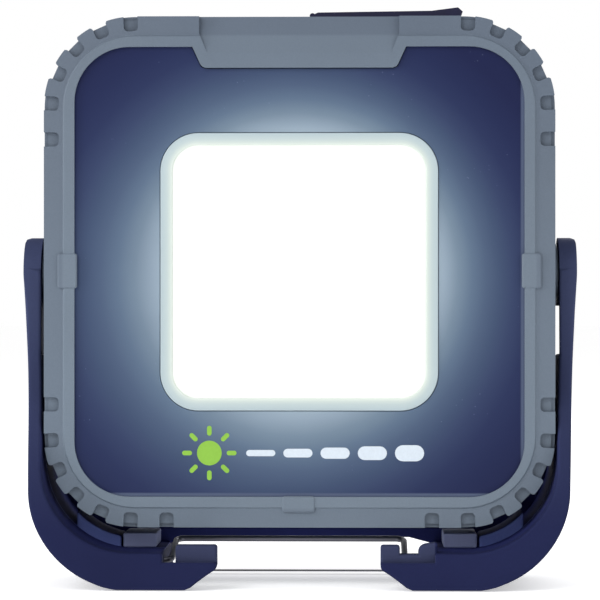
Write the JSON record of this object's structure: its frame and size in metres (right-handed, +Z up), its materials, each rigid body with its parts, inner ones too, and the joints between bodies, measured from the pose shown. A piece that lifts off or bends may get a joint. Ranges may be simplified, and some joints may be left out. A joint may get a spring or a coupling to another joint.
{
  "type": "work light",
  "caption": "Square rechargeable LED work light with a notched bezel, tilting in a U stand with a folding wire hook, magnetic feet and a covered charging port.",
  "frame": {"origin": "on the floor plane, midway between the arms and under the tilt axis", "axes": "+Z up, -Y towards the lit front, +X to the right as seen from the front"},
  "size_m": [0.1802, 0.06, 0.1884],
  "materials": {
    "stand_plastic": "fine textured moulded plastic",
    "magnet": "plain magnet block",
    "cover_plastic": "satin moulded plastic",
    "pad_rubber": "matt rubber",
    "strip_steel": "thin rolled strip",
    "bezel_plastic": "satin overmoulded plastic",
    "panel_plastic": "satin printed panel",
    "lens_diffuser": "opal diffuser",
    "seal_rubber": "matt rubber",
    "reflector_white": "white gloss",
    "board_white": "white solder mask",
    "chip_yellow": "phosphor",
    "screw_steel": "zinc plated",
    "thermal_grey": "soft pad",
    "sink_aluminium": "extruded",
    "tray_plastic": "moulded",
    "cell_sleeve": "shrink sleeve",
    "contact_nickel": "nickel strip",
    "board_green": "solder mask",
    "switch_black": "moulded",
    "pipe_clear": "clear acrylic",
    "shell_steel": "stamped shell",
    "lead_red": "insulation",
    "lead_black": "insulation",
    "housing_plastic": "fine textured moulded plastic",
    "insert_brass": "knurled",
    "washer_acetal": "acetal",
    "cover_rubber": "soft rubber",
    "button_rubber": "soft rubber",
    "hook_steel": "bright plated wire"
  },
  "bodies": {
    "stand": {"stand_frame": "stand_plastic", "magnets": "magnet", "magnet_covers": "cover_plastic", "foot_pads": "pad_rubber", "pivot_caps": "stand_plastic", "tie_strip": "strip_steel"},
    "head": {"bezel_frame": "bezel_plastic", "face_panel": "panel_plastic", "light_lens": "lens_diffuser", "lens_gasket": "seal_rubber", "reflector": "reflector_white", "led_board": "board_white", "led_chips": "chip_yellow", "led_board_screws": "screw_steel", "thermal_pad": "thermal_grey", "heat_sink": "sink_aluminium", "battery_tray": "tray_plastic", "battery_cells": "cell_sleeve", "battery_contacts": "contact_nickel", "main_board": "board_green", "board_screws": "screw_steel", "button_switch": "switch_black", "light_pipe": "pipe_clear", "port_board": "board_green", "usb_a_socket": "shell_steel", "usb_c_socket": "shell_steel", "led_leads": "lead_red", "battery_leads": "lead_black", "housing_seal": "seal_rubber", "rear_housing": "housing_plastic", "housing_screws": "screw_steel", "pivot_inserts": "insert_brass", "pivot_screws": "screw_steel", "friction_washers": "washer_acetal", "cover_anchor": "cover_rubber"},
    "cover": {"port_cover": "cover_rubber"},
    "button": {"power_button": "button_rubber"},
    "hook": {"hook_wire": "hook_steel"}
  },
  "joints": [
    {"name": "head_tilt", "type": "hinge", "parent": "stand", "child": "head", "pos_m": [0, 0, 0.102], "axis": [1, 0, 0], "range_deg": [-90, 90]},
    {"name": "hook_swing", "type": "hinge", "parent": "stand", "child": "hook", "pos_m": [0, -0.019, 0.009], "axis": [-1, 0, 0], "range_deg": [0, 90]},
    {"name": "cover_open", "type": "hinge", "parent": "head", "child": "cover", "pos_m": [0.0041, 0, 0.1857], "axis": [0, -1, 0], "range_deg": [0, 110]},
    {"name": "button_press", "type": "slide", "parent": "head", "child": "button", "axis": [0, -1, 0], "range_m": [0, 0.0008], "stiffness_N_per_m": 400}
  ]
}
